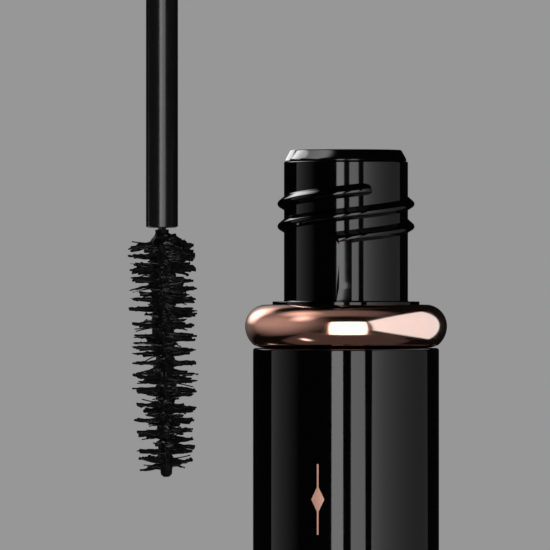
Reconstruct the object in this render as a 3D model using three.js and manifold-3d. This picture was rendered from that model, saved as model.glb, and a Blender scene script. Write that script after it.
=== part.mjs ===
// A mascara tube with its wand applicator withdrawn and hanging beside it.
// Millimetres, +Z up. The origin is the centre of the tube's base, and the tube's axis is Z.
import * as THREE from "three";
import { mergeVertices } from "three/addons/utils/BufferGeometryUtils.js";
import Module from "manifold-3d";

const wasm = await Module();
wasm.setup();

// Driving dimensions of the tube.
const FIT_GAP = 0.3; // clearance that neighbouring pieces keep
const ROUND = 40; // facets round a large turned piece
const ROUND_SMALL = 20; // facets round the stem, wire and small trim
const BARREL_R = 9.3;
const BARREL_TOP = 64.1;
const BARREL_WALL = 1.2;
const BASE_FLANGE = 1.5;
const LABEL_R = 6.5;
const BOTTLE_FOOT = 10.2; // height of the bottle's closed bottom above the base
const BOTTLE_R = 7.2;
const BOTTLE_BORE = 5.6;
const SHOULDER_R = 7.35;
const SHOULDER_TOP = 68.85;
const NECK_R = 6.2;
const NECK_BORE = 4.9;
const NECK_TOP = 82.6;
const RIM_TOP = 84; // flat land of the wiper's flange
const ORIFICE_R = 1.8;
const FILL_TOP = 54;

// The collar ring: a bead that is fuller below its widest line, with a narrow lip under it.
const COLLAR_BORE = 7.65;
const COLLAR_R = 10.1;
const COLLAR_WIDEST_HEIGHT = 66.4;
const COLLAR_UPPER_R = 2.15;
const COLLAR_LOWER_R = 2.5;
const COLLAR_BOTTOM = 64.4;

// The two-start right-hand thread.
const LEAD = 4.5;
const THREAD_CREST_R = 6.85;
const THREAD_END_ANGLE = -100.6; // degrees round the axis, where the lower end of a ridge stops
const THREAD_END_HEIGHT = 75.1;
const THREAD_SWEEP = 395;
const THREAD_FADE = 20; // degrees over which the upper end rises out of the neck
const RIB_LEFT = -0.73;
const RIB_RIGHT = 0.53;
const RIB_PROUD = 0.5;

// The applicator, on its own axis beside the tube.
const WAND_X = -18.4;
const BRUSH_TIP = 51.15;
const STEM_R = 1.6;
const STEM_BOTTOM = 76.2;
const WIRE_R = 0.35;
const WIRE_HELD = 9; // length of wire moulded into the stem
const ROW_COUNT = 18;
const ROW_TOP = 74.9;
const ROW_BOTTOM = 52.2;
const ROW_THICKNESS = 0.6;
const ROW_R_TOP = 3.4;
const ROW_R_BOTTOM = 2.5;
const WAND_LENGTH = 54.8; // from the cap's edge to the brush's tip
const CAP_EDGE = BRUSH_TIP + WAND_LENGTH;
const CAP_HEIGHT = 50;
const CAP_WALL = 1;
const INNER_CAP_R = BARREL_R - CAP_WALL - FIT_GAP;
const INNER_CAP_BORE = 7;
const FEMALE_CREST_R = 6.55;
const FEMALE_SWEEP = 270;
const FEMALE_ENTRY = 5; // height of the female thread's lower end above the cap's edge
const LINER_UNDERSIDE = 15.2; // above the cap's edge, where the rim meets the washer
const LINER_THICKNESS = 0.8;
const LINER_R = 6.2;
const CEILING_THICKNESS = 1.4;
const SOCKET_R = 3.4;
const SOCKET_HEIGHT = 9;

const finishes = {
  gloss_black: { color: 0x060607, roughness: 0.12, metalness: 0 },
  satin_black: { color: 0x0c0c0d, roughness: 0.38, metalness: 0 },
  rose_gold: { color: 0xc98f7c, roughness: 0.16, metalness: 1 },
  natural_plastic: { color: 0xd8d6d0, roughness: 0.5, metalness: 0 },
  foam: { color: 0xf2f0ea, roughness: 0.9, metalness: 0 },
  steel: { color: 0x55565a, roughness: 0.3, metalness: 1 },
  formula: { color: 0x050505, roughness: 0.45, metalness: 0 },
  label: { color: 0x1a1a1c, roughness: 0.6, metalness: 0 },
};

const wand = new THREE.Group();
wand.position.x = WAND_X;
const tube = new THREE.Group();
const mascara = new THREE.Group();
mascara.add(tube, wand);

function addPiece(group, name, geometry, finish) {
  const mesh = new THREE.Mesh(geometry, new THREE.MeshStandardMaterial(finishes[finish]));
  mesh.name = name;
  group.add(mesh);
}

// Turns an outline of [radius, height] points round +Z.
// An outline that doesn't start and end on the axis is closed on itself, counter-clockwise.
function turned(outline, facets = ROUND) {
  const points = outline.map(([radius, height]) => new THREE.Vector2(radius, height));
  const onAxis = points[0].x === 0 && points.at(-1).x === 0;
  if (!onAxis) points.push(points[0].clone());
  return new THREE.LatheGeometry(points, facets).rotateX(Math.PI / 2);
}

// Points of an arc in the outline's plane, from one angle to another in degrees.
function arc(centreR, centreZ, radius, from, to, steps) {
  return Array.from({ length: steps + 1 }, (_, i) => {
    const angle = THREE.MathUtils.degToRad(from + ((to - from) * i) / steps);
    return [centreR + radius * Math.cos(angle), centreZ + radius * Math.sin(angle)];
  });
}

// A geometry as a solid that can be joined and cut.
function solidOf(geometry) {
  const bare = geometry.clone().deleteAttribute("normal").deleteAttribute("uv");
  const merged = mergeVertices(bare);
  const corners = Array.from(merged.index.array);
  const triVerts = [];
  for (let i = 0; i < corners.length; i += 3) {
    const [a, b, c] = corners.slice(i, i + 3);
    if (a !== b && b !== c && c !== a) triVerts.push(a, b, c);
  }
  const vertProperties = merged.attributes.position.array;
  return new wasm.Manifold(
    new wasm.Mesh({ numProp: 3, vertProperties, triVerts: new Uint32Array(triVerts) }),
  );
}

function geometryOf(solid) {
  const { vertProperties, triVerts } = solid.getMesh();
  const geometry = new THREE.BufferGeometry();
  geometry.setAttribute("position", new THREE.BufferAttribute(new Float32Array(vertProperties), 3));
  geometry.setIndex(new THREE.BufferAttribute(new Uint32Array(triVerts), 1));
  geometry.computeVertexNormals();
  return geometry;
}

// A ridge that climbs round the axis: its section is extruded straight, then wound into a helix.
// The section's x is the radius and its y the height over the ridge's centre line.
function helicalRidge(section, rootR, startAngle, startHeight, sweep, fade) {
  const raises = Math.sign(section[2][0] - rootR); // +1 on a neck, -1 in a bore
  const shape = new THREE.Shape(section.map(([radius, height]) => new THREE.Vector2(radius, height)));
  const steps = Math.ceil((sweep / 360) * ROUND);
  const ridge = new THREE.ExtrudeGeometry(shape, { depth: sweep, steps, bevelEnabled: false });
  const position = ridge.getAttribute("position");
  for (let i = 0; i < position.count; i++) {
    const along = sweep - position.getZ(i); // running down keeps the faces pointing out
    const rise = Math.min(1, (sweep - along) / fade + 0.15);
    const proud = position.getX(i) - rootR;
    const radius = rootR + (proud * raises > 0 ? proud * rise : proud);
    const angle = THREE.MathUtils.degToRad(startAngle + along);
    const height = startHeight + (LEAD * along) / 360 + position.getY(i);
    position.setXYZ(i, radius * Math.cos(angle), radius * Math.sin(angle), height);
  }
  return ridge;
}

// The barrel is an open sleeve with a softened edge at each end.
function outerSleeve() {
  const bore = BARREL_R - BARREL_WALL;
  const edge = 0.25;
  const bottom = BASE_FLANGE + FIT_GAP;
  return turned([
    [bore, bottom],
    [BARREL_R - edge, bottom],
    [BARREL_R, bottom + edge],
    [BARREL_R, BARREL_TOP - edge],
    [BARREL_R - edge, BARREL_TOP],
    [bore, BARREL_TOP],
  ]);
}

// The base cap: a flange under the barrel, a spigot inside it, and a post ring under the bottle.
function baseCap() {
  const spigotR = BARREL_R - BARREL_WALL - FIT_GAP;
  const spigotTop = 7;
  const spigotWall = 1.2;
  const postR = 4.6;
  const postBore = 3.4;
  const postTop = BOTTLE_FOOT - FIT_GAP;
  const recessR = LABEL_R + FIT_GAP;
  const recess = 0.6;
  return turned([
    [0, recess],
    [recessR, recess],
    [recessR, 0],
    [BARREL_R - 0.5, 0],
    [BARREL_R, 0.5],
    [BARREL_R, BASE_FLANGE],
    [spigotR, BASE_FLANGE],
    [spigotR, spigotTop],
    [spigotR - spigotWall, spigotTop],
    [spigotR - spigotWall, BASE_FLANGE + 0.5],
    [postR, BASE_FLANGE + 0.5],
    [postR, postTop],
    [postBore, postTop],
    [postBore, BASE_FLANGE + 0.5],
    [0, BASE_FLANGE + 0.5],
  ]);
}

function baseLabel() {
  return turned([[0, 0], [LABEL_R, 0], [LABEL_R, FIT_GAP], [0, FIT_GAP]]);
}

// Section of a male ridge: a steep lower flank, a narrow crest and a long sloped upper flank.
const maleSection = [
  [NECK_R - 0.3, -0.58],
  [NECK_R - 0.01, -0.5],
  [THREAD_CREST_R, -0.15],
  [THREAD_CREST_R, 0.15],
  [NECK_R - 0.01, 0.72],
  [NECK_R - 0.3, 0.86],
];

// An anti-back-off rib: an upright bar under a ridge's lower end, with a sloped foot.
function backOffRib() {
  const top = 75.2;
  const slopeTop = 70.5;
  const foot = SHOULDER_TOP - 0.3;
  const back = NECK_R - 0.4;
  const side = new THREE.Shape();
  side.moveTo(back, foot);
  side.lineTo(NECK_R + 0.1, foot);
  side.lineTo(NECK_R + RIB_PROUD, slopeTop);
  side.lineTo(NECK_R + RIB_PROUD, top);
  side.lineTo(back, top);
  const depth = RIB_RIGHT - RIB_LEFT;
  const bar = new THREE.ExtrudeGeometry(side, { depth, bevelEnabled: false });
  bar.rotateX(Math.PI / 2); // the outline stands upright, and its depth runs along Y
  bar.translate(0, RIB_RIGHT, 0);
  return bar.rotateZ(-Math.PI / 2); // the bar faces the front, -Y
}

// The inner bottle: a round-bottomed vial, a shoulder, and a neck with its thread and ribs.
function innerBottle() {
  const floor = BOTTLE_FOOT + 1.3;
  const vial = turned([
    [0, BOTTLE_FOOT],
    [BOTTLE_R - 1.5, BOTTLE_FOOT],
    [BOTTLE_R - 0.4, BOTTLE_FOOT + 0.5],
    [BOTTLE_R, BOTTLE_FOOT + 1.5],
    [BOTTLE_R, 64],
    [SHOULDER_R, 64.5],
    [SHOULDER_R, SHOULDER_TOP],
    [NECK_R + 0.25, SHOULDER_TOP],
    [NECK_R, SHOULDER_TOP + 0.25],
    [NECK_R, NECK_TOP],
    [NECK_BORE, NECK_TOP],
    [NECK_BORE, 67.5],
    [BOTTLE_BORE, 64.5],
    [BOTTLE_BORE, floor + 1.5],
    [BOTTLE_BORE - 1.5, floor],
    [0, floor],
  ]);
  let bottle = solidOf(vial);
  for (const turn of [0, Math.PI]) {
    const ridge = helicalRidge(
      maleSection, NECK_R, THREAD_END_ANGLE, THREAD_END_HEIGHT, THREAD_SWEEP, THREAD_FADE,
    );
    bottle = bottle.add(solidOf(ridge.rotateZ(turn))).add(solidOf(backOffRib().rotateZ(turn)));
  }
  return geometryOf(bottle);
}

// The collar ring: flat on top, round outside, with a lip that sits on the barrel.
function collarRing() {
  const topHeight = COLLAR_WIDEST_HEIGHT + COLLAR_UPPER_R;
  const lipR = BARREL_R - 0.05;
  const lowerCentre = COLLAR_R - COLLAR_LOWER_R;
  const upperCentre = COLLAR_R - COLLAR_UPPER_R;
  return turned([
    [COLLAR_BORE, COLLAR_BOTTOM],
    [lipR, COLLAR_BOTTOM],
    ...arc(lowerCentre, COLLAR_WIDEST_HEIGHT, COLLAR_LOWER_R, -50, -12, 3),
    ...arc(upperCentre, COLLAR_WIDEST_HEIGHT, COLLAR_UPPER_R, 0, 80, 6),
    [COLLAR_BORE, topHeight],
  ]);
}

// The wiper: a chamfered flange on the neck's rim, a plug in the neck, a funnel and its orifice.
function wiperInsert() {
  const plugR = NECK_BORE - FIT_GAP;
  const flangeUnder = NECK_TOP + FIT_GAP;
  return turned([
    [plugR - 0.6, 69.6],
    [plugR - 0.1, 70],
    [plugR, 72],
    [plugR, flangeUnder],
    [6.05, flangeUnder],
    [5.95, 83.45],
    [5.55, RIM_TOP],
    [4.1, RIM_TOP],
    [3.8, 83.5],
    [3.7, 75.5],
    [2.6, 73.2],
    [ORIFICE_R, 72.4],
    [ORIFICE_R, 71.8],
    [2.4, 71.3],
    [3.3, 70.4],
  ]);
}

// The formula fills the bottle, with a dimple where the brush was drawn out.
function mascaraFill() {
  const fillR = BOTTLE_BORE - FIT_GAP;
  const bottom = BOTTLE_FOOT + 1.3 + FIT_GAP;
  return turned([
    [0, bottom],
    [fillR - 1.5, bottom],
    [fillR, bottom + 1.5],
    [fillR, FILL_TOP],
    [3.6, FILL_TOP - 0.6],
    [0, FILL_TOP - 3],
  ]);
}

// The outer cap is a deep cup, open downwards, with a softened crown.
function capShell() {
  const top = CAP_EDGE + CAP_HEIGHT;
  const bore = BARREL_R - CAP_WALL;
  return turned([
    [0, top - 1.5],
    [bore, top - 1.5],
    [bore, CAP_EDGE],
    [BARREL_R - 0.25, CAP_EDGE],
    [BARREL_R, CAP_EDGE + 0.25],
    [BARREL_R, top - 0.8],
    [BARREL_R - 0.25, top - 0.25],
    [BARREL_R - 0.8, top],
    [0, top],
  ]);
}

// The inner cap: a threaded skirt, a ceiling over the washer, and the stem's socket above it.
function innerCap() {
  const edge = CAP_EDGE + 0.5;
  const ceiling = CAP_EDGE + LINER_UNDERSIDE + LINER_THICKNESS + FIT_GAP;
  const crown = ceiling + CEILING_THICKNESS;
  const socketBore = STEM_R + FIT_GAP;
  const skirt = turned([
    [socketBore, ceiling],
    [INNER_CAP_BORE, ceiling],
    [INNER_CAP_BORE, edge + 0.6],
    [INNER_CAP_BORE + 0.3, edge],
    [INNER_CAP_R, edge],
    [INNER_CAP_R, crown],
    [SOCKET_R, crown],
    [SOCKET_R, crown + SOCKET_HEIGHT],
    [socketBore, crown + SOCKET_HEIGHT],
  ]);
  const femaleSection = [
    [INNER_CAP_BORE + 0.3, 0.65],
    [INNER_CAP_BORE, 0.5],
    [FEMALE_CREST_R, 0.15],
    [FEMALE_CREST_R, -0.15],
    [INNER_CAP_BORE, -0.5],
    [INNER_CAP_BORE + 0.3, -0.65],
  ];
  let cap = solidOf(skirt);
  const entry = CAP_EDGE + FEMALE_ENTRY;
  for (const turn of [0, Math.PI]) {
    const ridge = helicalRidge(femaleSection, INNER_CAP_BORE, 0, entry, FEMALE_SWEEP, THREAD_FADE);
    cap = cap.add(solidOf(ridge.rotateZ(turn)));
  }
  return geometryOf(cap);
}

// The washer that seals on the wiper's rim. The stem passes through it.
function capLiner() {
  const underside = CAP_EDGE + LINER_UNDERSIDE;
  return turned([
    [STEM_R + FIT_GAP, underside],
    [LINER_R, underside],
    [LINER_R, underside + LINER_THICKNESS],
    [STEM_R + FIT_GAP, underside + LINER_THICKNESS],
  ]);
}

// The stem: a rod with a blind hole for the wire and a head that sits on the socket.
function stem() {
  const crown = CAP_EDGE + LINER_UNDERSIDE + LINER_THICKNESS + FIT_GAP + CEILING_THICKNESS;
  const headUnder = crown + SOCKET_HEIGHT + FIT_GAP;
  const holeR = WIRE_R + FIT_GAP;
  const holeTop = STEM_BOTTOM + WIRE_HELD;
  return turned(
    [
      [0, holeTop],
      [holeR, holeTop],
      [holeR, STEM_BOTTOM],
      [STEM_R - 0.15, STEM_BOTTOM],
      [STEM_R, STEM_BOTTOM + 0.15],
      [STEM_R, headUnder],
      [SOCKET_R - 0.6, headUnder],
      [SOCKET_R - 0.6, headUnder + 1.5],
      [0, headUnder + 1.5],
    ],
    ROUND_SMALL,
  );
}

// The twisted wire, from inside the stem to the bead at the brush's tip.
function wireCore() {
  const top = STEM_BOTTOM + WIRE_HELD - FIT_GAP;
  return turned(
    [
      [0, BRUSH_TIP],
      [WIRE_R, BRUSH_TIP + 0.2],
      [WIRE_R, top],
      [0, top],
    ],
    12,
  );
}

// One row of fibres: a thin spiked disc round the wire, wider near the stem.
function bristleRow(index) {
  const share = index / (ROW_COUNT - 1);
  const radius = THREE.MathUtils.lerp(ROW_R_TOP, ROW_R_BOTTOM, share ** 1.6);
  const height = THREE.MathUtils.lerp(ROW_TOP, ROW_BOTTOM, share);
  const spikes = 10;
  const outline = Array.from({ length: spikes * 2 }, (_, i) => {
    const angle = (i + (index % 2)) * (Math.PI / spikes);
    const reach = i % 2 ? radius * 0.78 : radius;
    return new THREE.Vector2(reach * Math.cos(angle), reach * Math.sin(angle));
  });
  const row = new THREE.Shape(outline);
  const hole = new THREE.Path();
  hole.absarc(0, 0, WIRE_R + FIT_GAP, 0, 2 * Math.PI, true);
  row.holes.push(hole);
  const settings = { depth: ROW_THICKNESS, bevelEnabled: false, curveSegments: 4 };
  return new THREE.ExtrudeGeometry(row, settings).translate(0, 0, height - ROW_THICKNESS / 2);
}

addPiece(tube, "outer_sleeve", outerSleeve(), "gloss_black");
addPiece(tube, "base_cap", baseCap(), "gloss_black");
addPiece(tube, "base_label", baseLabel(), "label");
addPiece(tube, "inner_bottle", innerBottle(), "gloss_black");
addPiece(tube, "collar_ring", collarRing(), "rose_gold");
addPiece(tube, "wiper_insert", wiperInsert(), "gloss_black");
addPiece(tube, "mascara_fill", mascaraFill(), "formula");
addPiece(wand, "cap_shell", capShell(), "gloss_black");
addPiece(wand, "inner_cap", innerCap(), "natural_plastic");
addPiece(wand, "cap_liner", capLiner(), "foam");
addPiece(wand, "stem", stem(), "satin_black");
addPiece(wand, "wire_core", wireCore(), "steel");
for (let index = 0; index < ROW_COUNT; index++) {
  const number = String(index + 1).padStart(2, "0");
  addPiece(wand, `bristle_row_${number}`, bristleRow(index), "formula");
}

export default mascara;
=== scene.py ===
import math
import random

import bmesh
import bpy
from mathutils import Matrix, Vector


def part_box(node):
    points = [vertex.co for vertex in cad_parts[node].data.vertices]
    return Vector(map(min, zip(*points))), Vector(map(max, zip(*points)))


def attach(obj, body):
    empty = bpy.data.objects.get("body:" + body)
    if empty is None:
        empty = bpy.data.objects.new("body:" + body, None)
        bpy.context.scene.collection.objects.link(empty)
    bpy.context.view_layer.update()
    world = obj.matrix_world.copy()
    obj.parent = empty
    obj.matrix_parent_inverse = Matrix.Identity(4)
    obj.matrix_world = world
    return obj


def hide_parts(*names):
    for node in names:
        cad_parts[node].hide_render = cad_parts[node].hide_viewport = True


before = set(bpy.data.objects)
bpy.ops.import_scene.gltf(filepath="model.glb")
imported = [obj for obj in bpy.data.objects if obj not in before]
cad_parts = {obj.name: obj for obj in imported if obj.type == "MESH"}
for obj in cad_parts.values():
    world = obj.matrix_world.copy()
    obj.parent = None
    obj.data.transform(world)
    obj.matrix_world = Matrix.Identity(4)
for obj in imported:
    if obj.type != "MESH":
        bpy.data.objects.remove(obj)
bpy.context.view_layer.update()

# ---------------------------------------------------------------------------------------------
# Camera
# A long lens, level with the neck, looks straight at the tube's front from 0.8 m. It takes in
# the neck, the collar, the top of the barrel and the brush.
# ---------------------------------------------------------------------------------------------
MM = 0.001
VIEW_WIDTH = 55 * MM
CAMERA_DISTANCE = 0.8
view_centre = Vector((-7.1 * MM, 0, 71.5 * MM))
camera_data = bpy.data.cameras.new("camera")
camera_data.sensor_width = 36
camera_data.lens = camera_data.sensor_width * CAMERA_DISTANCE / VIEW_WIDTH
camera_data.clip_start = 0.05
camera = bpy.data.objects.new("camera", camera_data)
bpy.context.scene.collection.objects.link(camera)
camera.location = view_centre - Vector((0, CAMERA_DISTANCE, 0))
camera.rotation_euler = (math.radians(90), 0, 0)
bpy.context.scene.camera = camera

# ---------------------------------------------------------------------------------------------
# Studio
# A plain pale floor, a grey surround and tall soft boxes that draw the long reflections.
# Each box is set by the angles it fills as seen from the tube, from the front towards +X.
# ---------------------------------------------------------------------------------------------
bpy.context.scene.view_settings.view_transform = "Standard"
SURROUND_GREY = 0.309
REFLECTED_SURROUND = 0.004
FLOOR_RADIUS = 1.1
bm = bmesh.new()
bmesh.ops.create_circle(bm, cap_ends=True, segments=96, radius=FLOOR_RADIUS)
floor_mesh = bpy.data.meshes.new("floor")
bm.to_mesh(floor_mesh)
bm.free()
floor = bpy.data.objects.new("floor", floor_mesh)
bpy.context.scene.collection.objects.link(floor)
floor_finish = bpy.data.materials.new("pale_floor")
floor_finish.use_nodes = True
floor_sockets = floor_finish.node_tree.nodes["Principled BSDF"].inputs
floor_sockets["Base Color"].default_value = (0.55, 0.55, 0.56, 1)
floor_sockets["Roughness"].default_value = 0.7
floor_mesh.materials.append(floor_finish)
floor.visible_glossy = False
floor.visible_shadow = False


class Amount:
    """A number or colour that changes over a surface, so that sums on it are written as sums."""

    def __init__(self, nodes, socket):
        self.nodes, self.socket = nodes, socket

    def sum(self, operation, first, second=0.0, clamp=False):
        settings = {"operation": operation, "use_clamp": clamp}
        return self.nodes.node("ShaderNodeMath", settings, {0: first, 1: second})

    def __add__(self, other):
        return self.sum("ADD", self, other)

    def __sub__(self, other):
        return self.sum("SUBTRACT", self, other)

    def __rsub__(self, other):
        return self.sum("SUBTRACT", other, self)

    def __mul__(self, other):
        return self.sum("MULTIPLY", self, other)

    def __truediv__(self, other):
        return self.sum("DIVIDE", self, other)

    def __pow__(self, other):
        return self.sum("POWER", self, other)

    def __gt__(self, other):
        return self.sum("GREATER_THAN", self, other)

    def __abs__(self):
        return self.sum("ABSOLUTE", self)

    def clamped(self):
        return self.sum("ADD", self, 0.0, clamp=True)

    __radd__ = __add__
    __rmul__ = __mul__


class Nodes:
    """The nodes of a light, the surround or a material."""

    def __init__(self, owner):
        owner.use_nodes = True
        self.tree = owner.node_tree

    def node(self, kind, settings=None, sockets=None, output=0):
        made = self.tree.nodes.new(kind)
        for setting, value in (settings or {}).items():
            setattr(made, setting, value)
        for socket, value in (sockets or {}).items():
            if isinstance(value, Amount):
                self.tree.links.new(value.socket, made.inputs[socket])
            else:
                made.inputs[socket].default_value = value
        return Amount(self, made.outputs[output])

    def link(self, amount, node, socket):
        self.tree.links.new(amount.socket, self.tree.nodes[node].inputs[socket])


surround = bpy.data.worlds.new("surround")
bpy.context.scene.world = surround
around = Nodes(surround)
seen = around.node("ShaderNodeLightPath", output="Is Camera Ray")
around.link(seen * (SURROUND_GREY - REFLECTED_SURROUND) + REFLECTED_SURROUND, "Background", "Color")

COLLAR = "rose_gold_collar"
RIM = "wiper_moulding"
NECK = "bottle_and_neck"
FOIL = "foil_ornament"
STEM = "wand_stem"
lit_only = {}  # piece name: the collections of the lights that shine on it alone
unlit = {}  # piece name: the collections of the lights that pass it by


def soft_box(
    name, azimuths, elevations, radiances, distance=0.6, feather=0.001, flare=(1, 1),
    fall=1, tint=(1, 1, 1), only=(), skip=(),
):
    """An area light that fills the given angles, graded from the first radiance to the second
    across its width, the sooner the higher its fall. Feather is the soft share of its edges, and
    flare the share of its height that is lit at each side. It lights only the pieces named, or
    every piece but the skipped, and never the floor."""
    azimuth = math.radians(sum(azimuths) / 2)
    elevation = math.radians(sum(elevations) / 2)
    width = 2 * distance * math.tan(math.radians(azimuths[1] - azimuths[0]) / 2)
    height = 2 * distance * math.tan(math.radians(elevations[1] - elevations[0]) / 2)
    light = bpy.data.lights.new(name, "AREA")
    light.shape = "RECTANGLE"
    light.size, light.size_y = width * math.cos(elevation), height
    light.energy = math.pi * light.size * light.size_y
    light.color = tint
    box = bpy.data.objects.new(name, light)
    bpy.context.scene.collection.objects.link(box)
    outward = Vector((
        math.sin(azimuth) * math.cos(elevation),
        -math.cos(azimuth) * math.cos(elevation),
        math.sin(elevation),
    ))
    box.location = Vector((0, 0, view_centre.z)) + outward * distance
    box.rotation_mode = "QUATERNION"
    box.rotation_quaternion = outward.to_track_quat("Z", "Y")
    box.visible_camera = False
    chosen = bpy.data.collections.new(name)
    box.light_linking.receiver_collection = chosen
    for piece_name in only or skip:
        (lit_only if only else unlit).setdefault(piece_name, []).append(chosen)
    if not only:
        chosen.objects.link(floor)
        chosen.collection_objects[-1].light_linking.link_state = "EXCLUDE"
    panel = Nodes(light)
    place = panel.node("ShaderNodeNewGeometry", output="Parametric")
    across = panel.node("ShaderNodeSeparateXYZ", sockets={"Vector": place})
    up = panel.node("ShaderNodeSeparateXYZ", sockets={"Vector": place}, output="Y")
    lit_height = across * (flare[1] - flare[0]) + flare[0]
    inside_height = ((lit_height - abs(up * 2 - 1)) / feather).clamped()
    inside_width = ((1 - abs(across * 2 - 1)) / feather).clamped()
    graded = (1 - across) ** fall * (radiances[0] - radiances[1]) + radiances[1]
    panel.link(graded * inside_height * inside_width, "Emission", "Strength")


# The boxes of the gloss black pieces.
soft_box("front_left_strip", (-18.6, -3.7), (-48, 24), (4.0, 4.0), skip=[COLLAR])
soft_box("front_right_strip", (5, 23.6), (-48, 24), (2.8, 2.6), skip=[COLLAR])
soft_box(
    "right_box", (30, 121), (-60, 40), (1.7, 0.2), distance=0.3, fall=2.5,
    skip=[COLLAR, RIM, STEM],
)
soft_box("left_strip", (-106, -60), (-30, 30), (0.5, 0.0), skip=[COLLAR, RIM, STEM])
soft_box("rear_left_box", (-164, -118), (18, 60), (6.5, 4.0), feather=0.7, skip=[COLLAR, RIM])
soft_box(
    "overhead", (-80, 80), (55, 115), (1.4, 0.9), feather=0.4, skip=[COLLAR, RIM, NECK],
)
# The stem's, the rim's, the foil's and the collar's own boxes.
soft_box("stem_glint", (-9, 8), (-48, 24), (2.6, 2.6), feather=0.3, only=[STEM])
soft_box("rim_rear", (-178, -138), (0, 25), (1.2, 4.4), distance=0.4, feather=0.15, only=[RIM])
soft_box("rim_side", (-141, -100), (16, 46), (9.0, 3.6), distance=0.4, feather=0.3, only=[RIM])
soft_box("rim_grey", (-116, -48), (26, 70), (1.4, 4.4), distance=0.4, feather=0.35, only=[RIM])
soft_box("foil_glow", (-62, -12), (-30, 30), (0.25, 0.6), only=[FOIL])
soft_box("collar_glint", (-20, 23.8), (-38, 24), (3.4, 3.4), only=[COLLAR])
soft_box(
    "collar_fan", (28, 134), (-46, 60), (2.0, 1.7), distance=0.3, feather=0.06, flare=(0.5, 0.82),
    tint=(0.6, 0.86, 1.0), only=[COLLAR],
)
soft_box(
    "collar_left", (-134, -22), (-34, 62), (0.66, 0.27),
    distance=0.35, feather=0.85, only=[COLLAR],
)
soft_box(
    "collar_side", (-182, -90), (-18, 30), (0.26, 0.2),
    distance=0.35, feather=0.9, only=[COLLAR],
)
soft_box("collar_rear", (-184, -140), (2, 46), (0.4, 0.8), distance=0.4, feather=0.9, only=[COLLAR])
soft_box(
    "collar_top", (-75, 75), (50, 100), (0.34, 0.03),
    distance=0.35, feather=0.5, only=[COLLAR],
)
soft_box(
    "collar_below", (-75, 75), (-110, -30), (0.07, 0.05),
    distance=0.3, feather=0.2, only=[COLLAR],
)
soft_box("collar_far_left", (-162, -124), (2, 42), (3.0, 3.0), feather=0.8, only=[COLLAR])
soft_box(
    "collar_upper", (-122, -50), (38, 74), (1.0, 1.0),
    distance=0.4, feather=0.8, only=[COLLAR],
)
soft_box("collar_spot", (-78, -40), (20, 54), (2.2, 1.8), feather=1, only=[COLLAR])
soft_box("collar_low_spot", (-77, -60), (-62, -46), (4.0, 4.0), feather=1, only=[COLLAR])
soft_box("collar_foot_spot", (-154, -138), (-50, -34), (2.5, 2.5), feather=1, only=[COLLAR])
# Low strips behind the tube draw it from the back, out of sight of the front.
back_strips = (
    ((-172, -158), 2.2), ((-122, -106), 2.6), ((150, 168), 2.0), ((-196, -184), 1.2),
)
for azimuths, level in back_strips:
    soft_box("back_strip", azimuths, (-52, -7), (level, level * 0.6), skip=[COLLAR, RIM, NECK])
# The floor is lit from straight above, by itself.
floor_light = bpy.data.lights.new("floor_light", "SUN")
floor_light.energy, floor_light.angle = 3.3, math.radians(30)
floor_sun = bpy.data.objects.new("floor_sun", floor_light)
bpy.context.scene.collection.objects.link(floor_sun)
floor_sun.light_linking.receiver_collection = bpy.data.collections.new("floor_light")
floor_sun.light_linking.receiver_collection.objects.link(floor)

# ---------------------------------------------------------------------------------------------
# Barrel
# An injection-moulded sleeve in gloss black plastic, open at both ends, with a softened rim
# that catches the light. It stands on the base cap's flange and hides the bottle.
# ---------------------------------------------------------------------------------------------


def turned(outline, centre_x=0.0, steps=160):
    """Turns an outline of (radius, height, corner radius) points in mm round an upright axis.
    A closed outline repeats its first point; an open one starts and ends on the axis."""
    bm = bmesh.new()
    closed = outline[0][:2] == outline[-1][:2]
    points = outline[:-1] if closed else outline
    verts = [bm.verts.new((radius * MM, 0, height * MM)) for radius, height, _ in points]
    for a, b in zip(verts, verts[1:]):
        bm.edges.new((a, b))
    if closed:
        bm.edges.new((verts[-1], verts[0]))
    for vert, (_, _, corner) in zip(verts, points):
        if corner:
            bmesh.ops.bevel(
                bm, geom=[vert], offset=corner * MM, offset_type="OFFSET", affect="VERTICES",
                segments=4, profile=0.5, material=-1,
            )
    bmesh.ops.spin(
        bm, geom=bm.verts[:] + bm.edges[:], cent=(0, 0, 0), axis=(0, 0, 1),
        angle=2 * math.pi, steps=steps, use_merge=True,
    )
    bmesh.ops.remove_doubles(bm, verts=bm.verts[:], dist=0.002 * MM)
    bmesh.ops.recalc_face_normals(bm, faces=bm.faces[:])
    bmesh.ops.translate(bm, verts=bm.verts[:], vec=(centre_x, 0, 0))
    return bm


def piece(name, bm, finish, body, replaced=(), sharp_angle=34, mirrored=True):
    """Puts a finished mesh in the scene as a piece that rides on a body of the frame. The wand's
    pieces are given as not mirrored, because they would darken the collar and the rim."""
    mesh = bpy.data.meshes.new(name)
    bm.to_mesh(mesh)
    bm.free()
    mesh.materials.append(finish)
    mesh.shade_smooth()
    mesh.set_sharp_from_angle(angle=math.radians(sharp_angle))
    made = bpy.data.objects.new(name, mesh)
    made.visible_glossy = mirrored
    bpy.context.scene.collection.objects.link(made)
    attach(made, body)
    if replaced:
        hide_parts(*replaced)
    for chosen in lit_only.get(name, []):
        chosen.objects.link(made)
    for chosen in unlit.get(name, []):
        chosen.objects.link(made)
        chosen.collection_objects[-1].light_linking.link_state = "EXCLUDE"


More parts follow.
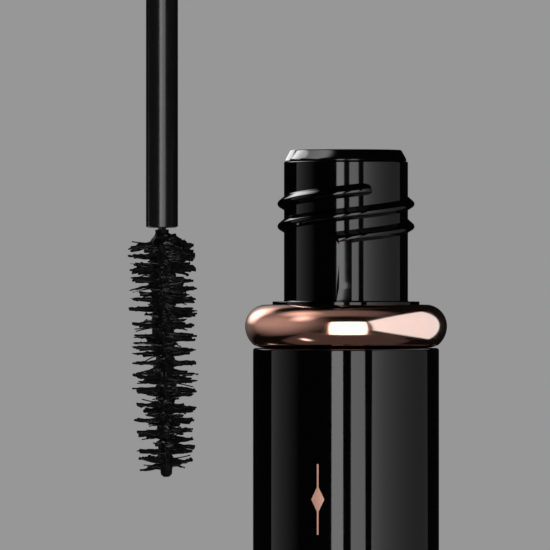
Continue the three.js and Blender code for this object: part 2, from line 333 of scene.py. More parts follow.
class Finish(Nodes):
    """A material built round one Principled shader, whose fixed values are given by name."""

    def __init__(self, name, **fixed):
        self.material = bpy.data.materials.new(name)
        super().__init__(self.material)
        for socket, value in fixed.items():
            shader = self.tree.nodes["Principled BSDF"]
            shader.inputs[socket.replace("_", " ")].default_value = value

    def place(self, stretch=(1, 1, 1)):
        """Where a point of the piece is, in mm, each way stretched."""
        where = self.node("ShaderNodeTexCoord", output="Object")
        sockets = {"Vector": where, "Scale": [share / MM for share in stretch]}
        return self.node("ShaderNodeMapping", {"vector_type": "POINT"}, sockets)

    def noise(self, place, scale, detail=3.0, roughness=0.5):
        sockets = {"Vector": place, "Scale": scale, "Detail": detail, "Roughness": roughness}
        return self.node("ShaderNodeTexNoise", {}, sockets)

    def between(self, amount, low, high):
        """Moves an amount of 0.3 to 0.7, as noise gives, to the range from low to high."""
        sockets = {"Value": amount, "From Min": 0.3, "From Max": 0.7, "To Min": low, "To Max": high}
        return self.node("ShaderNodeMapRange", {}, sockets)

    def blend(self, amount, first, second):
        sockets = {"Factor": amount, 6: first, 7: second}
        return self.node("ShaderNodeMix", {"data_type": "RGBA"}, sockets, output=2)

    def bump(self, height, strength, distance):
        sockets = {"Height": height, "Strength": strength, "Distance": distance * MM}
        return self.node("ShaderNodeBump", {}, sockets)

    def give(self, **amounts):
        for socket, amount in amounts.items():
            self.link(amount, "Principled BSDF", socket.replace("_", " "))
        return self.material


def gloss_black(name, roughness, shade=0.0005):
    """Polished black moulding: faint flow marks and the haze that handling leaves."""
    finish = Finish(name, IOR=1.49)
    place = finish.place()
    handling = finish.noise(finish.place(stretch=(1, 1, 0.5)), 0.35, detail=5, roughness=0.62)
    grain = finish.noise(place, 9, detail=2)
    tint = finish.blend(
        handling, (shade, shade, shade * 1.05, 1), (shade * 1.6, shade * 1.6, shade * 1.8, 1),
    )
    return finish.give(
        Base_Color=tint,
        Roughness=finish.between(handling, roughness, roughness * 1.9),
        Normal=finish.bump(grain, 0.05, 0.004),
    )


barrel_low, barrel_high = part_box("outer_sleeve")
POLISHED = 0.035  # the roughness of the barrel and the cap
BARREL_R = barrel_high.x / MM
BARREL_WALL = 1.2
BARREL_BORE = BARREL_R - BARREL_WALL
barrel_top = barrel_high.z / MM + 0.1
barrel_foot = barrel_low.z / MM - 0.22
EDGE_R = 0.25  # the softened edge of the barrel and the cap
inner_edge_r = 0.1
barrel_outline = [
    (BARREL_BORE, barrel_foot, inner_edge_r),
    (BARREL_R, barrel_foot, EDGE_R),
    (BARREL_R, barrel_top, EDGE_R),
    (BARREL_BORE, barrel_top, inner_edge_r),
    (BARREL_BORE, barrel_foot, inner_edge_r),
]
piece(
    "barrel", turned(barrel_outline, steps=256), gloss_black("barrel_black", POLISHED),
    "tube", replaced=["outer_sleeve"],
)

# ---------------------------------------------------------------------------------------------
# Foil ornament
# A plain rose-gold hot-stamped line with a lozenge, pressed into the front of the barrel.
# It is cut flat and wrapped round the barrel, a hundredth of a millimetre proud.
# ---------------------------------------------------------------------------------------------


def metal(name, color, roughness):
    """Bright metallised surface: uneven polish and hairline wipe marks round the piece."""
    finish = Finish(name, Metallic=1.0)
    wipes = finish.noise(finish.place(stretch=(0.15, 0.15, 6)), 1.6, detail=4, roughness=0.6)
    cloud = finish.noise(finish.place(), 0.5, detail=3)
    deep = tuple(c * 0.93 for c in color) + (1,)
    return finish.give(
        Base_Color=finish.blend(cloud, color + (1,), deep),
        Roughness=finish.between(cloud, roughness * 0.8, roughness * 1.25) + 0.03 * wipes,
        Normal=finish.bump(wipes, 0.04, 0.01),
    )


foil = metal("foil", (0.9, 0.5, 0.39), 0.25)
foil_top, foil_bottom = 52.8, 45.8
foil_azimuth = math.radians(-18)
foil_thickness = 0.01
foil_lift = 0.012  # how far its face stands off the barrel
foil_line = 0.18
lozenge_half_width, lozenge_half_height = 0.68, 1.2
middle = (foil_top + foil_bottom) / 2
foil_half_outline = [
    (foil_line / 2, foil_top),
    (foil_line / 2, middle + lozenge_half_height),
    (lozenge_half_width, middle),
    (foil_line / 2, middle - lozenge_half_height),
    (foil_line / 2, foil_bottom),
]
bm = bmesh.new()
right = [bm.verts.new((x * MM, 0, z * MM)) for x, z in foil_half_outline]
left = [bm.verts.new((-x * MM, 0, z * MM)) for x, z in foil_half_outline]
for (a, b), (c, d) in zip(zip(left, left[1:]), zip(right, right[1:])):
    bm.faces.new((a, b, d, c))
bmesh.ops.subdivide_edges(bm, edges=bm.edges[:], cuts=3, use_grid_fill=True)
foil_r = barrel_high.x + foil_lift * MM
for vert in bm.verts:
    angle = foil_azimuth + vert.co.x / foil_r
    vert.co = Vector((foil_r * math.sin(angle), -foil_r * math.cos(angle), vert.co.z))
bmesh.ops.recalc_face_normals(bm, faces=bm.faces[:])
bmesh.ops.solidify(bm, geom=bm.faces[:], thickness=foil_thickness * MM)
bmesh.ops.recalc_face_normals(bm, faces=bm.faces[:])
piece(FOIL, bm, foil, "tube")

# ---------------------------------------------------------------------------------------------
# Base cap and label
# A black cap pressed into the barrel's foot, with a hollow post that carries the bottle and a
# recess for a plain round label, stuck in.
# ---------------------------------------------------------------------------------------------
base_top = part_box("base_cap")[1].z / MM  # the top of the post that carries the bottle
label_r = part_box("base_label")[1].x / MM
label_thickness = 0.35
recess_r = label_r + 0.15
recess_depth = 0.55
flange = 1.5
base_floor = flange + 0.5
spigot_r = BARREL_BORE - 0.15
spigot_bore = spigot_r - 1.2
spigot_top = 7
post_r, post_bore = 4.6, 3.4
base_outline = [
    (0, recess_depth, 0),
    (recess_r, recess_depth, 0),
    (recess_r, 0, 0.12),
    (BARREL_R, 0, 0.45),
    (BARREL_R, flange, 0.1),
    (spigot_r, flange, 0),
    (spigot_r, spigot_top, 0.3),
    (spigot_bore, spigot_top, 0.3),
    (spigot_bore, base_floor, 0),
    (post_r, base_floor, 0),
    (post_r, base_top, 0.2),
    (post_bore, base_top, 0.2),
    (post_bore, base_floor, 0),
    (0, base_floor, 0),
]
piece(
    "base_cap_moulding", turned(base_outline), gloss_black("base_black", 0.09), "tube",
    replaced=["base_cap"],
)


def label_film():
    """Satin black film with one printed rose-gold ring near its edge."""
    finish = Finish("label_film", IOR=1.45)
    place = finish.place()
    spread = finish.node(
        "ShaderNodeVectorMath", {"operation": "LENGTH"}, {0: place}, output="Value",
    )
    ring = (spread > label_r - 0.9) * (1 - (spread > label_r - 0.6))
    speckle = finish.noise(place, 3, detail=4)
    black = finish.blend(speckle, (0.02, 0.02, 0.021, 1), (0.03, 0.03, 0.032, 1))
    return finish.give(
        Base_Color=finish.blend(ring, black, (0.55, 0.3, 0.23, 1)),
        Roughness=finish.between(speckle, 0.38, 0.52),
        Metallic=ring,
    )


label_outline = [
    (0, 0, 0),
    (label_r, 0, 0.05),
    (label_r, label_thickness, 0.05),
    (0, label_thickness, 0),
]
piece(
    "round_label", turned(label_outline), label_film(), "tube",
    replaced=["base_label"],
)

# ---------------------------------------------------------------------------------------------
# Bottle
# The inner bottle that holds the formula: a round-bottomed vial, a shoulder that carries the
# collar, and a polished neck with a two-start right-hand thread and two anti-back-off ribs.
# ---------------------------------------------------------------------------------------------
bottle_low, bottle_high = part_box("inner_bottle")
NECK_R = 6.2
NECK_BORE = 4.9
SHOULDER_R = bottle_high.x / MM
SHOULDER_TOP = 68.85
neck_top = bottle_high.z / MM + 0.24
bottle_foot = bottle_low.z / MM
bottle_r, bottle_bore = 7.2, 5.6
bottle_floor = bottle_foot + 1.3
bottle_outline = [
    (0, bottle_foot, 0),
    (bottle_r, bottle_foot, 1.5),
    (bottle_r, 64.3, 0.2),
    (SHOULDER_R, 64.6, 0.2),
    (SHOULDER_R, SHOULDER_TOP, 0.07),
    (NECK_R, SHOULDER_TOP, 0.12),
    (NECK_R, neck_top, 0.15),
    (NECK_BORE, neck_top, 0.15),
    (NECK_BORE, 67.5, 0.3),
    (bottle_bore, 64.5, 0.3),
    (bottle_bore, bottle_floor, 1.4),
    (0, bottle_floor, 0),
]
LEAD = 4.5
THREAD_CREST_R = 6.85
THREAD_FOOT = -106.6  # degrees from +X, where a ridge's lower end stops
THREAD_FOOT_HEIGHT = 75.02
THREAD_SWEEP = 401
THREAD_FADE = 13  # degrees over which the upper end is rounded down into the neck
THREAD_CUT = 10  # degrees by which the crest stops short of the root at the lower end
THREAD_CUT_SPAN = 30  # degrees over which the ridge recovers from that cut
THREAD_UPPER_ROOT = 0.72  # where the ridge's upper flank meets the wall, above its centre line
END_SHARE = 0.35  # the share of its height that the ridge keeps at the very end of its fade
END_DROP = 0.2  # mm that the ridge's very end hangs below its centre line
END_SUNK = 0.03  # mm that it is sunk in the wall there
RIB_LEFT = -0.74
RIB_RIGHT = 0.52
RIB_FACE_R = 24  # the rib's face is a shallow arc, whose middle is right of the rib
RIB_CENTRE = 0.75
RIB_FLARE_TOP = 70.3  # below this height the rib widens towards the shoulder
rib_root = NECK_R - 0.4
rib_foot = SHOULDER_TOP - 0.2
rib_outline = [  # (distance in front of the axis, height)
    (rib_root, rib_foot),
    (NECK_R + 0.14, rib_foot),
    (NECK_R + 0.28, 70.04),
    (NECK_R + 0.31, 70.2),
    (NECK_R + 0.36, 70.36),
    (NECK_R + 0.43, 70.58),
    (NECK_R + 0.48, 70.76),
    (NECK_R + 0.5, 71),
    (NECK_R + 0.5, 75.15),
    (rib_root, 75.15),
]


def join(bm, part):
    """Adds one mesh to another, and frees it."""
    mesh = bpy.data.meshes.new("part")
    part.to_mesh(mesh)
    part.free()
    bm.from_mesh(mesh)
    bpy.data.meshes.remove(mesh)


def thread_ridge(bm, profile, root_r, foot, foot_height, sweep, fade, steps):
    """Winds a ridge round the axis from its lower end up, and sinks its upper end into the wall.
    The profile's points are (proud of the wall, above the centre line, corner radius)."""
    section = bmesh.new()
    verts = [
        section.verts.new(((root_r + out) * MM, 0, (foot_height + up) * MM))
        for out, up, _ in profile
    ]
    loop = verts + verts[:1]
    for a, b in zip(loop, loop[1:]):
        section.edges.new((a, b))
    for vert, (_, _, corner) in zip(verts, profile):
        if corner:
            bmesh.ops.bevel(
                section, geom=[vert], offset=corner * MM, offset_type="OFFSET", affect="VERTICES",
                segments=4, profile=0.5, material=-1,
            )
    at_foot = Matrix.Rotation(math.radians(foot), 4, "Z")
    bmesh.ops.transform(section, matrix=at_foot, verts=section.verts[:])
    bmesh.ops.contextual_create(section, geom=section.edges[:])
    bmesh.ops.spin(
        section, geom=section.faces[:], cent=(0, 0, 0), axis=(0, 0, 1),
        dvec=(0, 0, LEAD * MM * sweep / 360 / steps), angle=math.radians(sweep), steps=steps,
    )
    outward = 1 if profile[len(profile) // 2][0] > 0 else -1
    for vert in section.verts:
        radius = vert.co.xy.length / MM
        proud = (radius - root_r) * outward
        turn = math.degrees(math.atan2(vert.co.y, vert.co.x)) - foot
        climbed = (vert.co.z / MM - foot_height) / LEAD * 360
        turn += 360 * round((climbed - turn) / 360)
        left = max(0.0, min(1.0, (sweep - turn) / fade))
        keep = math.sqrt(left * (2 - left))
        centre_line = (foot_height + turn / 360 * LEAD) * MM
        above = vert.co.z - centre_line
        below_root = min(1.0, max(0.0, THREAD_UPPER_ROOT - above / MM) / 0.8)
        left_height = above * (END_SHARE + (1 - END_SHARE) * keep)
        vert.co.z = centre_line + left_height - END_DROP * (1 - keep) * MM
        if proud > 0:
            left_proud = proud * keep - END_SUNK * (1 - keep)
            vert.co.xy *= (root_r + outward * left_proud) / radius
        cut = max(proud / CREST_PROUD, below_root) * max(0.0, 1 - turn / THREAD_CUT_SPAN)
        vert.co.xy = Matrix.Rotation(math.radians(THREAD_CUT * cut), 2) @ vert.co.xy
    bmesh.ops.recalc_face_normals(section, faces=section.faces[:])
    join(bm, section)


def neck_rib(bm, turn):
    """A rib on the front of the neck, turned round the axis: its outline is extruded from side
    to side, its face is bent to a shallow arc, and its foot widens to the left."""
    rib = bmesh.new()
    side = [
        rib.verts.new((RIB_LEFT * MM, -depth * MM, height * MM)) for depth, height in rib_outline
    ]
    bmesh.ops.contextual_create(rib, geom=side)
    swept = bmesh.ops.extrude_face_region(rib, geom=rib.faces[:])
    far_side = [item for item in swept["geom"] if isinstance(item, bmesh.types.BMVert)]
    bmesh.ops.translate(rib, vec=((RIB_RIGHT - RIB_LEFT) * MM, 0, 0), verts=far_side)
    across = [
        edge for edge in rib.edges if abs(edge.verts[0].co.x - edge.verts[1].co.x) > 0.5 * MM
    ]
    bmesh.ops.subdivide_edges(rib, edges=across, cuts=7, use_grid_fill=True)
    for vert in rib.verts:
        height = vert.co.z / MM
        if vert.co.y < -NECK_R * MM:
            aside = vert.co.x / MM - RIB_CENTRE
            vert.co.y += (RIB_FACE_R - math.sqrt(RIB_FACE_R ** 2 - aside ** 2)) * MM
        if height < RIB_FLARE_TOP and vert.co.x < 0:
            vert.co.x *= 1 + 0.25 * (RIB_FLARE_TOP - height)
    turned_by = Matrix.Rotation(math.radians(turn), 3, "Z")
    bmesh.ops.rotate(rib, cent=(0, 0, 0), matrix=turned_by, verts=rib.verts[:])
    bmesh.ops.recalc_face_normals(rib, faces=rib.faces[:])
    join(bm, rib)


CREST_PROUD = THREAD_CREST_R - NECK_R
male_profile = [
    (-0.12, -0.62, 0),
    (-0.01, -0.56, 0.1),
    (CREST_PROUD, -0.16, 0.14),
    (CREST_PROUD, 0.16, 0.14),
    (-0.01, THREAD_UPPER_ROOT, 0.2),
    (-0.12, 0.86, 0),
]
bm = turned(bottle_outline, steps=256)
for start in (0, 180):
    thread_ridge(
        bm, male_profile, NECK_R, THREAD_FOOT + start, THREAD_FOOT_HEIGHT, THREAD_SWEEP,
        THREAD_FADE, steps=240,
    )
    neck_rib(bm, start)
piece(
    NECK, bm, gloss_black("neck_black", 0.05), "tube",
    replaced=["inner_bottle"], sharp_angle=40,
)

# ---------------------------------------------------------------------------------------------
# Collar
# A rose-gold metallised plastic ring, half round outside, pressed over the shoulder. Its thin
# lip sits on the barrel's rim.
# ---------------------------------------------------------------------------------------------
collar_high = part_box("collar_ring")[1]
COLLAR_R = collar_high.x / MM
collar_top = collar_high.z / MM
upper_r, lower_r = 2.15, 2.5  # the bead is fuller below its widest line
upper_arc, lower_arc = 82, 50  # degrees of arc above and below that line
upper_steps, lower_steps = 15, 12
widest_height = collar_top - upper_r
collar_bore = SHOULDER_R + 0.12
collar_foot = barrel_top + 0.06
collar_outline = [(collar_bore, collar_foot, 0), (BARREL_R - 0.75, collar_foot, 0)]
for step in range(-lower_steps, upper_steps + 1):
    round_r = lower_r if step < 0 else upper_r
    share = step / lower_steps if step < 0 else step / upper_steps
    angle = math.radians(share * (lower_arc if step < 0 else upper_arc))
    collar_outline.append((
        COLLAR_R - round_r + round_r * math.cos(angle),
        widest_height + round_r * math.sin(angle),
        0,
    ))
collar_outline += [(collar_bore, collar_top, 0.06), (collar_bore, collar_foot, 0)]
piece(
    COLLAR, turned(collar_outline, steps=256), metal("rose_gold", (0.86, 0.44, 0.335), 0.1),
    "tube", replaced=["collar_ring"],
)

# ---------------------------------------------------------------------------------------------
# Wiper
# A soft black insert plugged into the neck. Its chamfered flange shows on the rim, and its
# funnel narrows to the orifice that wipes the stem.
# ---------------------------------------------------------------------------------------------
rim_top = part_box("wiper_insert")[1].z / MM
wiper_outline = [
    (4.1, 69.6, 0.1),
    (4.55, 70.4, 0.2),
    (4.75, 72, 0.2),
    (4.75, 82.85, 0),
    (6.06, 82.88, 0.06),
    (6.02, 83.1, 0.1),
    (5.53, rim_top, 0.12),
    (4.1, rim_top, 0.2),
    (3.8, 83.4, 0.2),
    (3.7, 75.5, 0.6),
    (2.6, 73.2, 0.5),
    (1.8, 72.4, 0.15),
    (1.8, 71.8, 0.1),
    (2.4, 71.3, 0.3),
    (3.4, 70.3, 0.3),
    (4.1, 69.6, 0.1),
]
piece(
    RIM, turned(wiper_outline, steps=192), gloss_black("wiper_black", 0.1, 0.0008),
    "tube", replaced=["wiper_insert"],
)

# ---------------------------------------------------------------------------------------------
# Formula
# The black cream in the bottle, wax and pigment in water, filled in before the wiper is
# plugged. It has a dimple where the brush was drawn out.
# ---------------------------------------------------------------------------------------------


def formula_coat(name, roughness, ior=1.5):
    """Wet-looking black cream: fine lumps, with duller and wetter patches."""
    finish = Finish(name, IOR=ior)
    place = finish.place()
    lumps = finish.noise(place, 2.4, detail=5, roughness=0.6)
    patches = finish.noise(place, 0.7, detail=3)
    darkest, lightest = (0.0007, 0.00065, 0.00065, 1), (0.0017, 0.0016, 0.0016, 1)
    return finish.give(
        Base_Color=finish.blend(patches, darkest, lightest),
        Roughness=finish.between(patches, roughness * 0.7, roughness * 1.35),
        Normal=finish.bump(lumps, 0.5, 0.05),
    )


fill_low, fill_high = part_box("mascara_fill")
fill_r = fill_high.x / MM + 0.2
fill_outline = [
    (0, fill_low.z / MM, 0),
    (fill_r, fill_low.z / MM, 1.4),
    (fill_r, fill_high.z / MM, 0.2),
    (3.4, fill_high.z / MM - 0.7, 0.8),
    (0, fill_high.z / MM - 2.8, 0),
]
piece(
    "formula_in_bottle", turned(fill_outline), formula_coat("formula_cream", 0.35),
    "tube", replaced=["mascara_fill"],
)

# ---------------------------------------------------------------------------------------------
# Cap
# The outer cap, a deep cup moulded in the barrel's gloss black plastic and to its width, with
# a softened crown. It is what the hand holds.
# ---------------------------------------------------------------------------------------------
cap_low, cap_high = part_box("cap_shell")
stem_low, stem_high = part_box("stem")
WAND_X = (stem_low.x + stem_high.x) / 2
cap_edge = cap_low.z / MM
cap_top = cap_high.z / MM
cap_bore = BARREL_R - 1
cap_ceiling = cap_top - 1.5
cap_outline = [
    (0, cap_ceiling, 0),
    (cap_bore, cap_ceiling, 0.4),
    (cap_bore, cap_edge, inner_edge_r),
    (BARREL_R, cap_edge, EDGE_R),
    (BARREL_R, cap_top, 0.8),
    (0, cap_top, 0),
]
piece(
    "cap_moulding", turned(cap_outline, WAND_X, steps=256), gloss_black("cap_black", POLISHED),
    "applicator", replaced=["cap_shell"], mirrored=False,
)

# ---------------------------------------------------------------------------------------------
# Inner cap
# A satin black liner, moulded on a core that is screwed out, and pressed into the cap. It
# carries the female thread and the stem's socket.
# ---------------------------------------------------------------------------------------------


def satin_plastic(name, color, roughness):
    """Satin moulding with a fine spark-eroded texture."""
    finish = Finish(name, IOR=1.48)
    place = finish.place()
    texture = finish.noise(place, 14, detail=2)
    cloud = finish.noise(finish.place(stretch=(1, 1, 0.35)), 0.8, detail=4)
    lighter = tuple(c * 1.35 for c in color) + (1,)
    return finish.give(
        Base_Color=finish.blend(cloud, color + (1,), lighter),
        Roughness=finish.between(cloud, roughness * 0.9, roughness * 1.12),
        Normal=finish.bump(texture, 0.12, 0.01),
    )


inner_low, inner_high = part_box("inner_cap")
liner_low, liner_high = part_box("cap_liner")
inner_edge = inner_low.z / MM
socket_top = inner_high.z / MM
ceiling = liner_high.z / MM + 0.1
crown = ceiling + 1.6
inner_r = cap_bore - 0.1
inner_bore = 7.0
socket_r, socket_bore = 3.4, 1.75
female_start = cap_edge + 5  # the height of the female thread's lower end
female_sweep = 270
inner_outline = [
    (socket_bore, ceiling, 0.1),
    (inner_bore, ceiling, 0.2),
    (inner_bore, inner_edge, 0.3),
    (inner_r, inner_edge, 0.15),
    (inner_r, crown, 0.3),
    (socket_r, crown, 0.2),
    (socket_r, socket_top, 0.3),
    (socket_bore, socket_top, 0.1),
    (socket_bore, ceiling, 0.1),
]
female_profile = [
    (0.12, 0.6, 0),
    (0.01, 0.5, 0.05),
    (-0.45, 0.15, 0.1),
    (-0.45, -0.15, 0.1),
    (0.01, -0.5, 0.05),
    (0.12, -0.6, 0),
]
bm = turned(inner_outline)
for start in (0, 180):
    thread_ridge(
        bm, female_profile, inner_bore, start, female_start, female_sweep, THREAD_FADE, steps=160,
    )
bmesh.ops.translate(bm, verts=bm.verts[:], vec=(WAND_X, 0, 0))
piece(
    "inner_cap_moulding", bm, satin_plastic("liner_black", (0.012, 0.012, 0.0125), 0.34),
    "applicator", replaced=["inner_cap"], mirrored=False,
)

# ---------------------------------------------------------------------------------------------
# Sealing washer
# A white disc punched from closed-cell foam sheet and slipped over the stem to the inner cap's
# ceiling. It seals on the wiper's rim.
# ---------------------------------------------------------------------------------------------


def foam():
    """Closed-cell foam: fine pores in an off-white sheet."""
    finish = Finish("foam", IOR=1.4)
    pores = finish.node("ShaderNodeTexVoronoi", {}, {"Vector": finish.place(), "Scale": 5.0})
    cloud = finish.noise(finish.place(), 1.2)
    return finish.give(
        Base_Color=finish.blend(cloud, (0.8, 0.79, 0.75, 1), (0.7, 0.69, 0.65, 1)),
        Roughness=finish.between(cloud, 0.75, 0.9),
        Normal=finish.bump(pores, 0.35, 0.06),
    )


washer_r, washer_bore = 6.2, 1.85
washer_outline = [
    (washer_bore, liner_low.z / MM, 0.08),
    (washer_r, liner_low.z / MM, 0.15),
    (washer_r, liner_high.z / MM, 0.15),
    (washer_bore, liner_high.z / MM, 0.08),
    (washer_bore, liner_low.z / MM, 0.08),
]
piece(
    "foam_washer", turned(washer_outline, WAND_X), foam(), "sealing_washer",
    replaced=["cap_liner"], mirrored=False,
)

# ---------------------------------------------------------------------------------------------
# Stem
# A satin black moulded rod, snapped up through the inner cap's socket. Its lower end is
# softened and holds the twisted wire.
# ---------------------------------------------------------------------------------------------
STEM_R = 1.6
barb_r = 2.8  # the head that snaps over the socket
barb_foot = socket_top + 0.1
stem_foot = stem_low.z / MM
stem_head = stem_high.z / MM
stem_outline = [
    (0, stem_foot + 0.6, 0),
    (0.62, stem_foot + 0.3, 0.1),
    (0.72, stem_foot, 0.1),
    (STEM_R, stem_foot, 0.2),
    (STEM_R, barb_foot, 0.05),
    (barb_r, barb_foot, 0.15),
    (barb_r, stem_head, 0.3),
    (0, stem_head, 0),
]
piece(
    STEM, turned(stem_outline, WAND_X, steps=96),
    satin_plastic("stem_black", (0.004, 0.004, 0.0042), 0.2),
    "applicator", replaced=["stem"], mirrored=False,
)

# ---------------------------------------------------------------------------------------------
# Wire
# Two strands of dark steel wire, twisted together over the fibres. The bare end above the
# brush is pressed into the stem's foot.
# ---------------------------------------------------------------------------------------------
brush_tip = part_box("wire_core")[0].z / MM
LEAN = 0.45  # mm that the brush leans towards +X at its tip


def brush_axis(height):
    """The brush's own centre line at a height in mm."""
    share = max(0.0, min(1.0, (stem_foot - height) / (stem_foot - brush_tip)))
    return Vector((WAND_X / MM + LEAN * share, 0, height))


def strands(lines, sides):
    """A mesh of tapered strands, each a list of (point in mm, radius in mm)."""
    curve = bpy.data.curves.new("strands", "CURVE")
    curve.dimensions = "3D"
    curve.bevel_depth = 1
    curve.bevel_resolution = sides
    curve.use_fill_caps = True
    for line in lines:
        spline = curve.splines.new("POLY")
        spline.points.add(len(line) - 1)
        for point, (place, radius) in zip(spline.points, line):
            point.co = (*(place * MM), 1)
            point.radius = radius * MM
    holder = bpy.data.objects.new("strands", curve)
    mesh = bpy.data.meshes.new_from_object(holder)
    bpy.data.objects.remove(holder)
    bpy.data.curves.remove(curve)
    bm = bmesh.new()
    bm.from_mesh(mesh)
    bpy.data.meshes.remove(mesh)
    return bm


TWIST_PITCH = 2.76
STRAND_R = 0.24
strand_offset = 0.2  # from the wire's axis to a strand's
wire_top = stem_foot + 4
wire_length = wire_top - brush_tip - 0.35
wire_steps = 180
wire_lines = []
for side in (0, math.pi):
    line = []
    for step in range(wire_steps + 1):
        height = wire_top - step * wire_length / wire_steps
        angle = side + 2 * math.pi * height / TWIST_PITCH
        offset = Vector((math.cos(angle), math.sin(angle), 0)) * strand_offset
        line.append((brush_axis(height) + offset, STRAND_R))
    wire_lines.append(line)


def wire_steel():
    """Drawn wire, dark with dried formula, brighter where it shows through."""
    finish = Finish("wire_steel", Metallic=0.85)
    cloud = finish.noise(finish.place(), 1.5, detail=4)
    return finish.give(
        Base_Color=finish.blend(cloud, (0.02, 0.02, 0.02, 1), (0.09, 0.09, 0.09, 1)),
        Roughness=finish.between(cloud, 0.3, 0.55),
    )


piece(
    "twisted_wire", strands(wire_lines, 2), wire_steel(), "applicator",
    replaced=["wire_core"], mirrored=False,
)

# ---------------------------------------------------------------------------------------------
# Brush
# Hundreds of nylon fibres held in the twisted wire, so their rows wind round it as a double
# helix. Formula clumps them into tufts, and finer fibres stand out of the tufts' ends.
# ---------------------------------------------------------------------------------------------
ROW_PITCH = TWIST_PITCH / 2
BRUSH_TOP = 74.9
BRUSH_BOTTOM = 52.1
TUFTS_PER_TURN = 9
TUFT_ROOT = 0.3  # how far from the axis a tuft's strands start
TUFT_STEPS = 7
SHOULDER_TUFTS = 70
FIBRE_ROOT = 0.8
FIBRE_R = 0.065
CORE_STEPS = 56
CORE_STEP = 0.4
LUMPS = 420
ROWS_REACH = 0.86  # the share of the way to a side past which only the placed rows stand
TUFT_VOXEL = 0.075
CORE_VOXEL = 0.06
draw = random.Random(11)


def brush_share(height):
    return max(0.0, min(1.0, (BRUSH_TOP - height) / (BRUSH_TOP - BRUSH_BOTTOM)))


def brush_radius(height):
    share = brush_share(height)
    return 3.42 - 0.3 * share - 0.45 * share ** 4


def core_radius(height):
    return 1.55 - 0.92 * brush_share(height) ** 0.85


def tuft(height, azimuth, reach, thick, droop, spread):
    """A few strands that leave the core together and part towards their ends."""
    lines = []
    for lift in [draw.uniform(-1, 1) for _ in range(draw.choice((1, 2, 2, 3)))]:
        aim = azimuth + draw.uniform(-0.16, 0.16)
        outward = Vector((math.cos(aim), math.sin(aim), 0))
        end = reach * draw.uniform(0.86, 1.0)
        wander = draw.uniform(-0.12, 0.12)
        line = []
        for step in range(TUFT_STEPS + 1):
            share = step / TUFT_STEPS
            rise = lift * spread * share + droop * share * share + wander * math.sin(3 * share)
            place = brush_axis(height + rise)
            place += outward * (TUFT_ROOT + (end - TUFT_ROOT) * share)
            place += Vector([draw.uniform(-0.035, 0.035) for _ in range(3)])
            swell = 1.7 - 1.1 * min(1.0, share * 1.6) ** 0.7 + draw.uniform(-0.24, 0.24)
            line.append((place, thick * swell))
        lines.append(line)
    return lines


def fibre(height, azimuth, reach, lift, bend):
    """One bare fibre that stands out of a tuft."""
    outward = Vector((math.cos(azimuth), math.sin(azimuth), 0))
    line = []
    for share in (0, 0.25, 0.5, 0.75, 1):
        place = brush_axis(height + lift * share + bend * share * share)
        place += outward * (FIBRE_ROOT + (reach - FIBRE_ROOT) * share)
        line.append((place, FIBRE_R))
    return line


# The rows that stand out at each side, as formula has gathered them: (height, thickness, droop).
left_rows = (
    (74.5, 0.27, -0.4), (73.35, 0.23, -0.05), (72.55, 0.12, 0.1), (72.0, 0.27, -0.15),
    (70.95, 0.24, 0.1), (70.4, 0.14, -0.5), (69.0, 0.14, 0.1), (68.1, 0.25, 0),
    (66.5, 0.26, 0.1), (65.35, 0.22, 0), (64.7, 0.12, 0), (64.2, 0.2, 0.05),
    (63.6, 0.14, 0), (62.7, 0.24, 0.05), (61.9, 0.13, -0.3), (61.2, 0.25, 0.25),
    (59.9, 0.28, 0.1), (58.45, 0.25, 0.15), (56.95, 0.28, 0.05), (55.6, 0.26, 0.05),
    (53.85, 0.24, 0.05), (52.9, 0.27, 0.3), (52.3, 0.2, -0.35),
)
right_rows = (
    (72.1, 0.29, 0), (70.9, 0.3, 0.05), (70.2, 0.2, 0), (69.0, 0.26, 0),
    (68.1, 0.22, -0.1), (67.5, 0.26, 0), (66.4, 0.28, 0.05), (65.5, 0.2, 0),
    (65.0, 0.25, 0), (63.9, 0.22, 0.1), (62.6, 0.27, 0.1), (61.6, 0.2, 0),
    (61.0, 0.2, 0), (60.0, 0.26, 0), (59.5, 0.2, 0.1), (58.1, 0.27, 0),
    (57.0, 0.26, -0.05), (55.9, 0.24, 0.1), (55.0, 0.24, 0), (54.4, 0.27, -0.1),
    (53.9, 0.2, 0), (52.6, 0.27, 0.45),
)
tufts, fibres, crumbs = [], [], []
for side, rows in ((math.pi, left_rows), (0, right_rows)):
    for height, thick, droop in rows:
        for turn in (-0.36, 0, 0.36):
            azimuth = side + turn + draw.uniform(-0.1, 0.1)
            reach = brush_radius(height) * (1.06 - 0.12 * abs(turn))
            climb = turn * draw.uniform(0.1, 0.35)
            tufts += tuft(height + climb, azimuth, reach, thick * 0.85, droop, thick * 0.6)
turns = (BRUSH_TOP - BRUSH_BOTTOM) / TWIST_PITCH
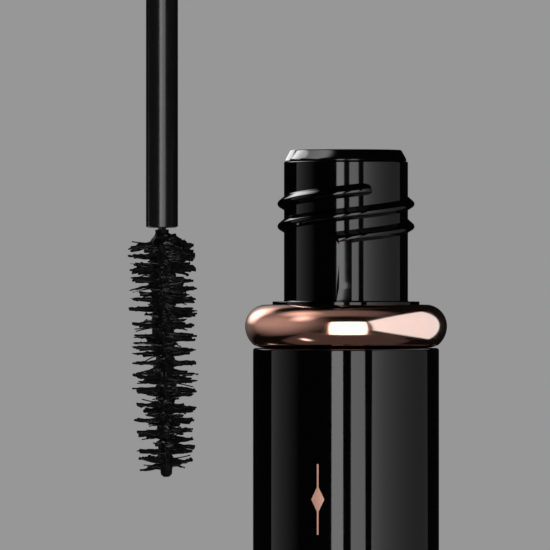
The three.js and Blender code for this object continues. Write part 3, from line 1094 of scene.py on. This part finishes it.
for index in range(int(turns * TUFTS_PER_TURN)):
    for arm in (0, math.pi):
        down = (index + draw.uniform(-0.35, 0.35)) / TUFTS_PER_TURN * TWIST_PITCH
        height = min(BRUSH_TOP, BRUSH_TOP - down)
        azimuth = arm + 2 * math.pi * index / TUFTS_PER_TURN + draw.uniform(-0.15, 0.15)
        towards_right = math.cos(azimuth)
        thick = draw.uniform(0.17, 0.3)
        droop = draw.uniform(-0.35, 0.2)
        reach = brush_radius(height) * draw.uniform(0.88, 1.0)
        missing = draw.random() < 0.1
        if missing or abs(towards_right) > ROWS_REACH:
            continue
        tufts += tuft(height, azimuth, reach, thick, droop, 0.26)
        if draw.random() < 0.3 + 0.45 * towards_right * (1 - brush_share(height) * 0.5):
            between = min(BRUSH_TOP, height + ROW_PITCH / 2)
            tufts += tuft(between, azimuth, reach * draw.uniform(0.7, 0.97), 0.18, -droop, 0.3)
        for _ in range(draw.choice((1, 1, 2, 3))):
            end = brush_radius(height) * draw.uniform(0.9, 1.02)
            lift, bend = draw.uniform(-0.4, 0.3), draw.uniform(-0.3, 0.2)
            root = min(height, BRUSH_TOP - 0.3)
            fibres.append(fibre(root, azimuth + draw.uniform(-0.2, 0.2), end, lift, bend))

# Formula has gathered at the brush's shoulder, most on one side.
for _ in range(SHOULDER_TUFTS):
    height = draw.uniform(73.1, 75.35)
    azimuth = draw.uniform(-1.25, 1.25)
    reach = min(3.35, 1.1 + (75.5 - height) * 2.4)
    tufts += tuft(height, azimuth, reach, 0.26, -0.12, 0.12)

# Crumbs of formula cling to the tufts.
for line in tufts[::2]:
    place, radius = line[draw.randint(4, 6)]
    aside = Vector([draw.uniform(-0.16, 0.16) for _ in range(3)])
    crumbs.append([(place, radius), (place + aside, draw.uniform(0.09, 0.2))])
tufts += crumbs

# The core is a lumpy skin of formula over the fibres' roots, drawn up into a neck at the stem.
core_neck = ((76.05, 0.7), (75.7, 0.68), (75.4, 0.82), (75.1, 1.1))
core_tip = ((0.75, 0.6), (0.4, 0.56), (0.16, 0.3))
core = [(brush_axis(height), radius) for height, radius in core_neck]
core += [
    (brush_axis(height), core_radius(height) * draw.uniform(0.8, 0.96))
    for height in [BRUSH_TOP - 0.3 - step * CORE_STEP for step in range(CORE_STEPS)]
]
core += [(brush_axis(brush_tip + up), radius) for up, radius in core_tip]
lump_lines = [core]
for _ in range(LUMPS):
    height = draw.uniform(BRUSH_BOTTOM, BRUSH_TOP + 0.2)
    azimuth = draw.uniform(0, 2 * math.pi)
    outward = Vector((math.cos(azimuth), math.sin(azimuth), draw.uniform(-0.4, 0.4)))
    root = brush_axis(height) + outward * core_radius(height) * 0.6
    crest = brush_axis(height) + outward * core_radius(height) * draw.uniform(0.95, 1.15)
    lump_lines.append([(root, 0.3), (crest, draw.uniform(0.1, 0.22))])


def coated(lines, voxel):
    """Strands drowned in formula: fused into one skin and smoothed."""
    bm = strands(lines, 2)
    mesh = bpy.data.meshes.new("coated")
    bm.to_mesh(mesh)
    bm.free()
    lump = bpy.data.objects.new("coated", mesh)
    bpy.context.scene.collection.objects.link(lump)
    fuse = lump.modifiers.new("fuse", "REMESH")
    fuse.mode = "VOXEL"
    fuse.voxel_size = voxel * MM
    settle = lump.modifiers.new("settle", "SMOOTH")
    settle.factor, settle.iterations = 0.5, 2
    evaluated = lump.evaluated_get(bpy.context.evaluated_depsgraph_get())
    fused = bpy.data.meshes.new_from_object(evaluated)
    bpy.data.objects.remove(lump)
    bm = bmesh.new()
    bm.from_mesh(fused)
    bpy.data.meshes.remove(fused)
    return bm


row_nodes = [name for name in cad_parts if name.startswith("bristle_row_")]
coat = formula_coat("brush_coat", 0.55, ior=1.17)
zones = 3  # the tufts are made in three lengths, to keep each piece's mesh small
zone_height = (BRUSH_TOP - BRUSH_BOTTOM) / zones
zone_tufts = [[] for _ in range(zones)]
for line in tufts:
    zone = int((line[0][0].z - BRUSH_BOTTOM) / zone_height)
    zone_tufts[max(0, min(zones - 1, zone))].append(line)
for zone in range(zones):
    piece(
        f"coated_tufts_{zone + 1}", coated(zone_tufts[zone], TUFT_VOXEL), coat,
        "applicator", replaced=row_nodes if zone == 0 else (), sharp_angle=180,
        mirrored=False,
    )
piece(
    "coated_core", coated(lump_lines, CORE_VOXEL), coat, "applicator",
    sharp_angle=180, mirrored=False,
)
piece(
    "fibre_tips", strands(fibres, 1), coat, "applicator",
    sharp_angle=180, mirrored=False,
)
